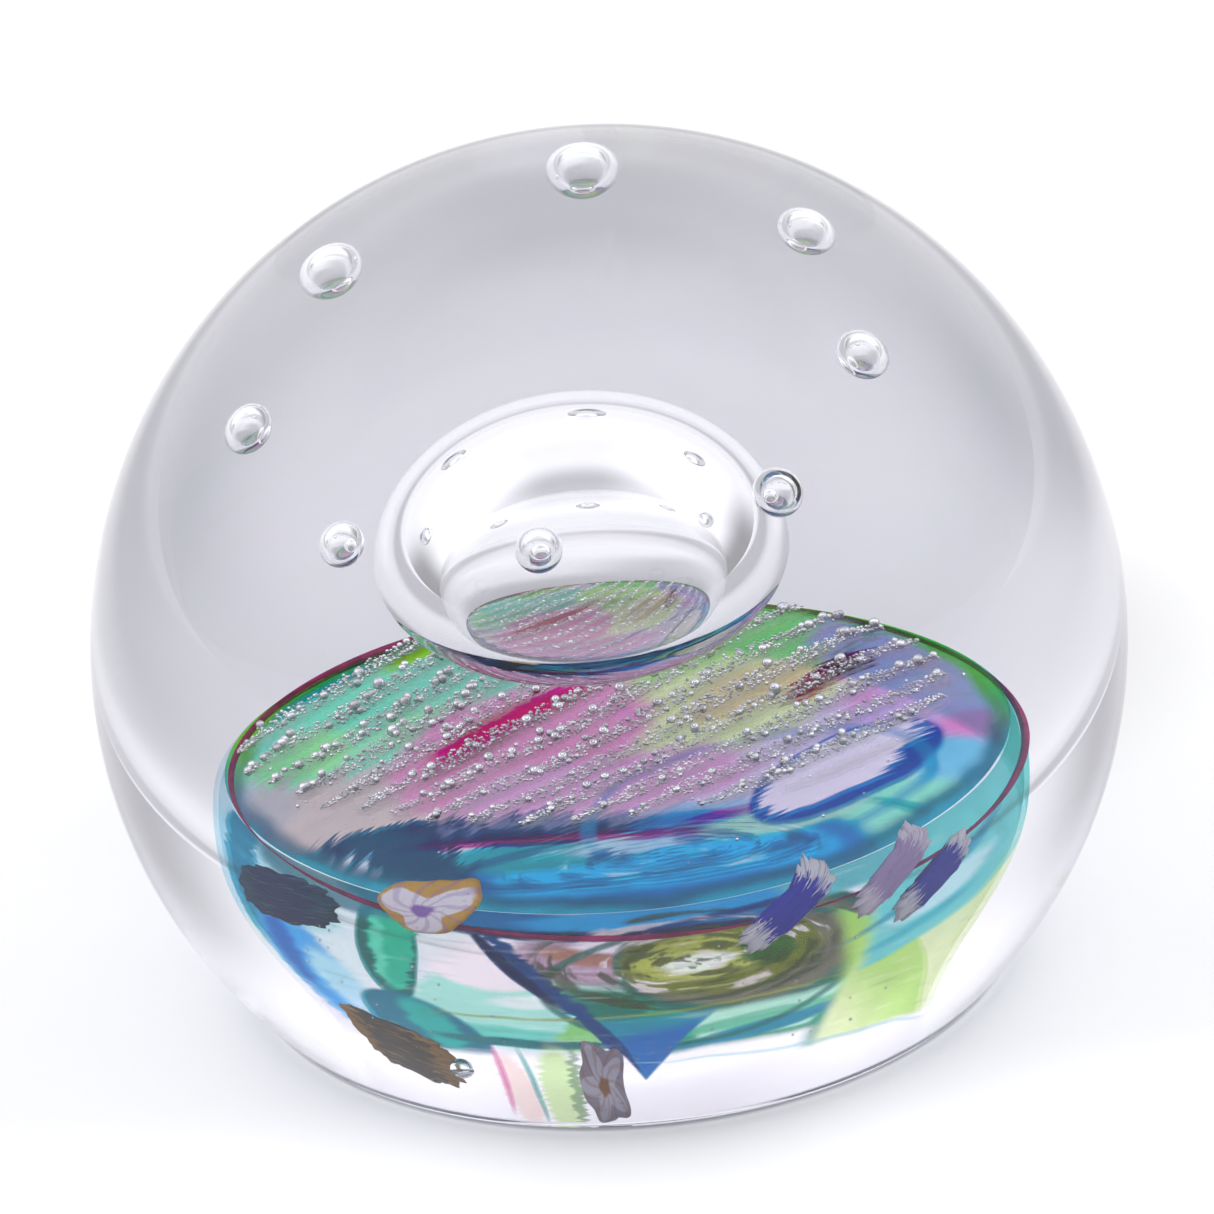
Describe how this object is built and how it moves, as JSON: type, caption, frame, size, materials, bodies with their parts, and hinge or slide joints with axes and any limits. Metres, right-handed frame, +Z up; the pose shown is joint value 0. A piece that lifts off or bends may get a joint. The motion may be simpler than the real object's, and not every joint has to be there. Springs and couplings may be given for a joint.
{
  "type": "paperweight",
  "caption": "Solid glass paperweight: clear dome on a ground flat foot, with a coloured swirled core, bands of fine bubbles, a large air bubble and a ring of small ones.",
  "frame": {"origin": "centre of the ground flat foot, at the level it rests on", "axes": "+Z up through the top of the dome; -Y towards the front, the side on which the turquoise swirl lies; +X to the right seen from the front"},
  "size_m": [0.08, 0.08, 0.0656],
  "materials": {
    "outer_clear_glass": "fire-polished, foot ground flat and polished",
    "middle_clear_glass": "fused clear glass",
    "inner_clear_glass": "fused clear glass",
    "core_clear_glass": "fused clear glass",
    "glass_lavender_oval": "transparent coloured glass veil",
    "glass_blue_loop": "transparent coloured glass veil",
    "glass_ruby_smear": "transparent coloured glass veil",
    "glass_rose_pool": "transparent coloured glass veil",
    "glass_turquoise_swirl": "transparent coloured glass veil",
    "glass_navy_swirl": "transparent coloured glass veil",
    "glass_lime_pool": "transparent coloured glass veil",
    "glass_violet_pool": "transparent coloured glass veil",
    "glass_lilac_pool": "transparent coloured glass veil",
    "glass_aqua_pool": "transparent coloured glass veil",
    "glass_peach_pool": "transparent coloured glass veil",
    "glass_lime_rim": "transparent coloured glass veil",
    "glass_sky_pool": "transparent coloured glass veil",
    "glass_mint_pool": "transparent coloured glass veil",
    "glass_teal_fold": "transparent coloured glass veil",
    "glass_mint_window": "transparent coloured glass veil",
    "glass_blue_wedge": "transparent coloured glass veil",
    "glass_olive_eddy": "transparent coloured glass veil",
    "glass_teal_belt": "transparent coloured glass veil",
    "glass_lime_veil": "transparent coloured glass veil",
    "glass_turquoise_side": "transparent coloured glass veil",
    "glass_sky_side": "transparent coloured glass veil",
    "glass_foot_wisp": "transparent coloured glass veil",
    "glass_lilac_back": "transparent coloured glass veil",
    "glass_aqua_back": "transparent coloured glass veil",
    "glass_blue_back": "transparent coloured glass veil",
    "foamed_glass": "glass foamed with fine bubbles, silvery",
    "ruby_glass": "transparent ruby glass thread",
    "cane_glass_1": "opaque patterned cane glass",
    "cane_glass_2": "opaque patterned cane glass",
    "cane_glass_3": "opaque patterned cane glass",
    "cane_glass_4": "opaque patterned cane glass",
    "cane_glass_5": "opaque patterned cane glass",
    "cane_glass_6": "opaque patterned cane glass",
    "cane_glass_7": "opaque patterned cane glass"
  },
  "bodies": {
    "root": {"outer_clear_gather": "outer_clear_glass", "middle_clear_gather": "middle_clear_glass", "inner_clear_gather": "inner_clear_glass", "core_gather": "core_clear_glass", "veil_lavender_oval": "glass_lavender_oval", "veil_blue_loop": "glass_blue_loop", "veil_ruby_smear": "glass_ruby_smear", "veil_rose_pool": "glass_rose_pool", "veil_turquoise_swirl": "glass_turquoise_swirl", "veil_navy_swirl": "glass_navy_swirl", "veil_lime_pool": "glass_lime_pool", "veil_violet_pool": "glass_violet_pool", "veil_lilac_pool": "glass_lilac_pool", "veil_aqua_pool": "glass_aqua_pool", "veil_peach_pool": "glass_peach_pool", "veil_lime_rim": "glass_lime_rim", "veil_sky_pool": "glass_sky_pool", "veil_mint_pool": "glass_mint_pool", "veil_teal_fold": "glass_teal_fold", "veil_mint_window": "glass_mint_window", "veil_blue_wedge": "glass_blue_wedge", "veil_olive_eddy": "glass_olive_eddy", "veil_teal_belt": "glass_teal_belt", "veil_lime_veil": "glass_lime_veil", "veil_turquoise_side": "glass_turquoise_side", "veil_sky_side": "glass_sky_side", "veil_foot_wisp": "glass_foot_wisp", "veil_lilac_back": "glass_lilac_back", "veil_aqua_back": "glass_aqua_back", "veil_blue_back": "glass_blue_back", "bubble_band_01": "foamed_glass", "bubble_band_02": "foamed_glass", "bubble_band_03": "foamed_glass", "bubble_band_04": "foamed_glass", "bubble_band_05": "foamed_glass", "bubble_band_06": "foamed_glass", "bubble_band_07": "foamed_glass", "bubble_band_08": "foamed_glass", "bubble_band_09": "foamed_glass", "bubble_band_10": "foamed_glass", "bubble_band_11": "foamed_glass", "bubble_band_12": "foamed_glass", "bubble_band_13": "foamed_glass", "ruby_thread": "ruby_glass", "millefiori_cane_1": "cane_glass_1", "millefiori_cane_2": "cane_glass_2", "millefiori_cane_3": "cane_glass_3", "millefiori_cane_4": "cane_glass_4", "millefiori_cane_5": "cane_glass_5", "millefiori_cane_6": "cane_glass_6", "millefiori_cane_7": "cane_glass_7"}
  },
  "joints": []
}
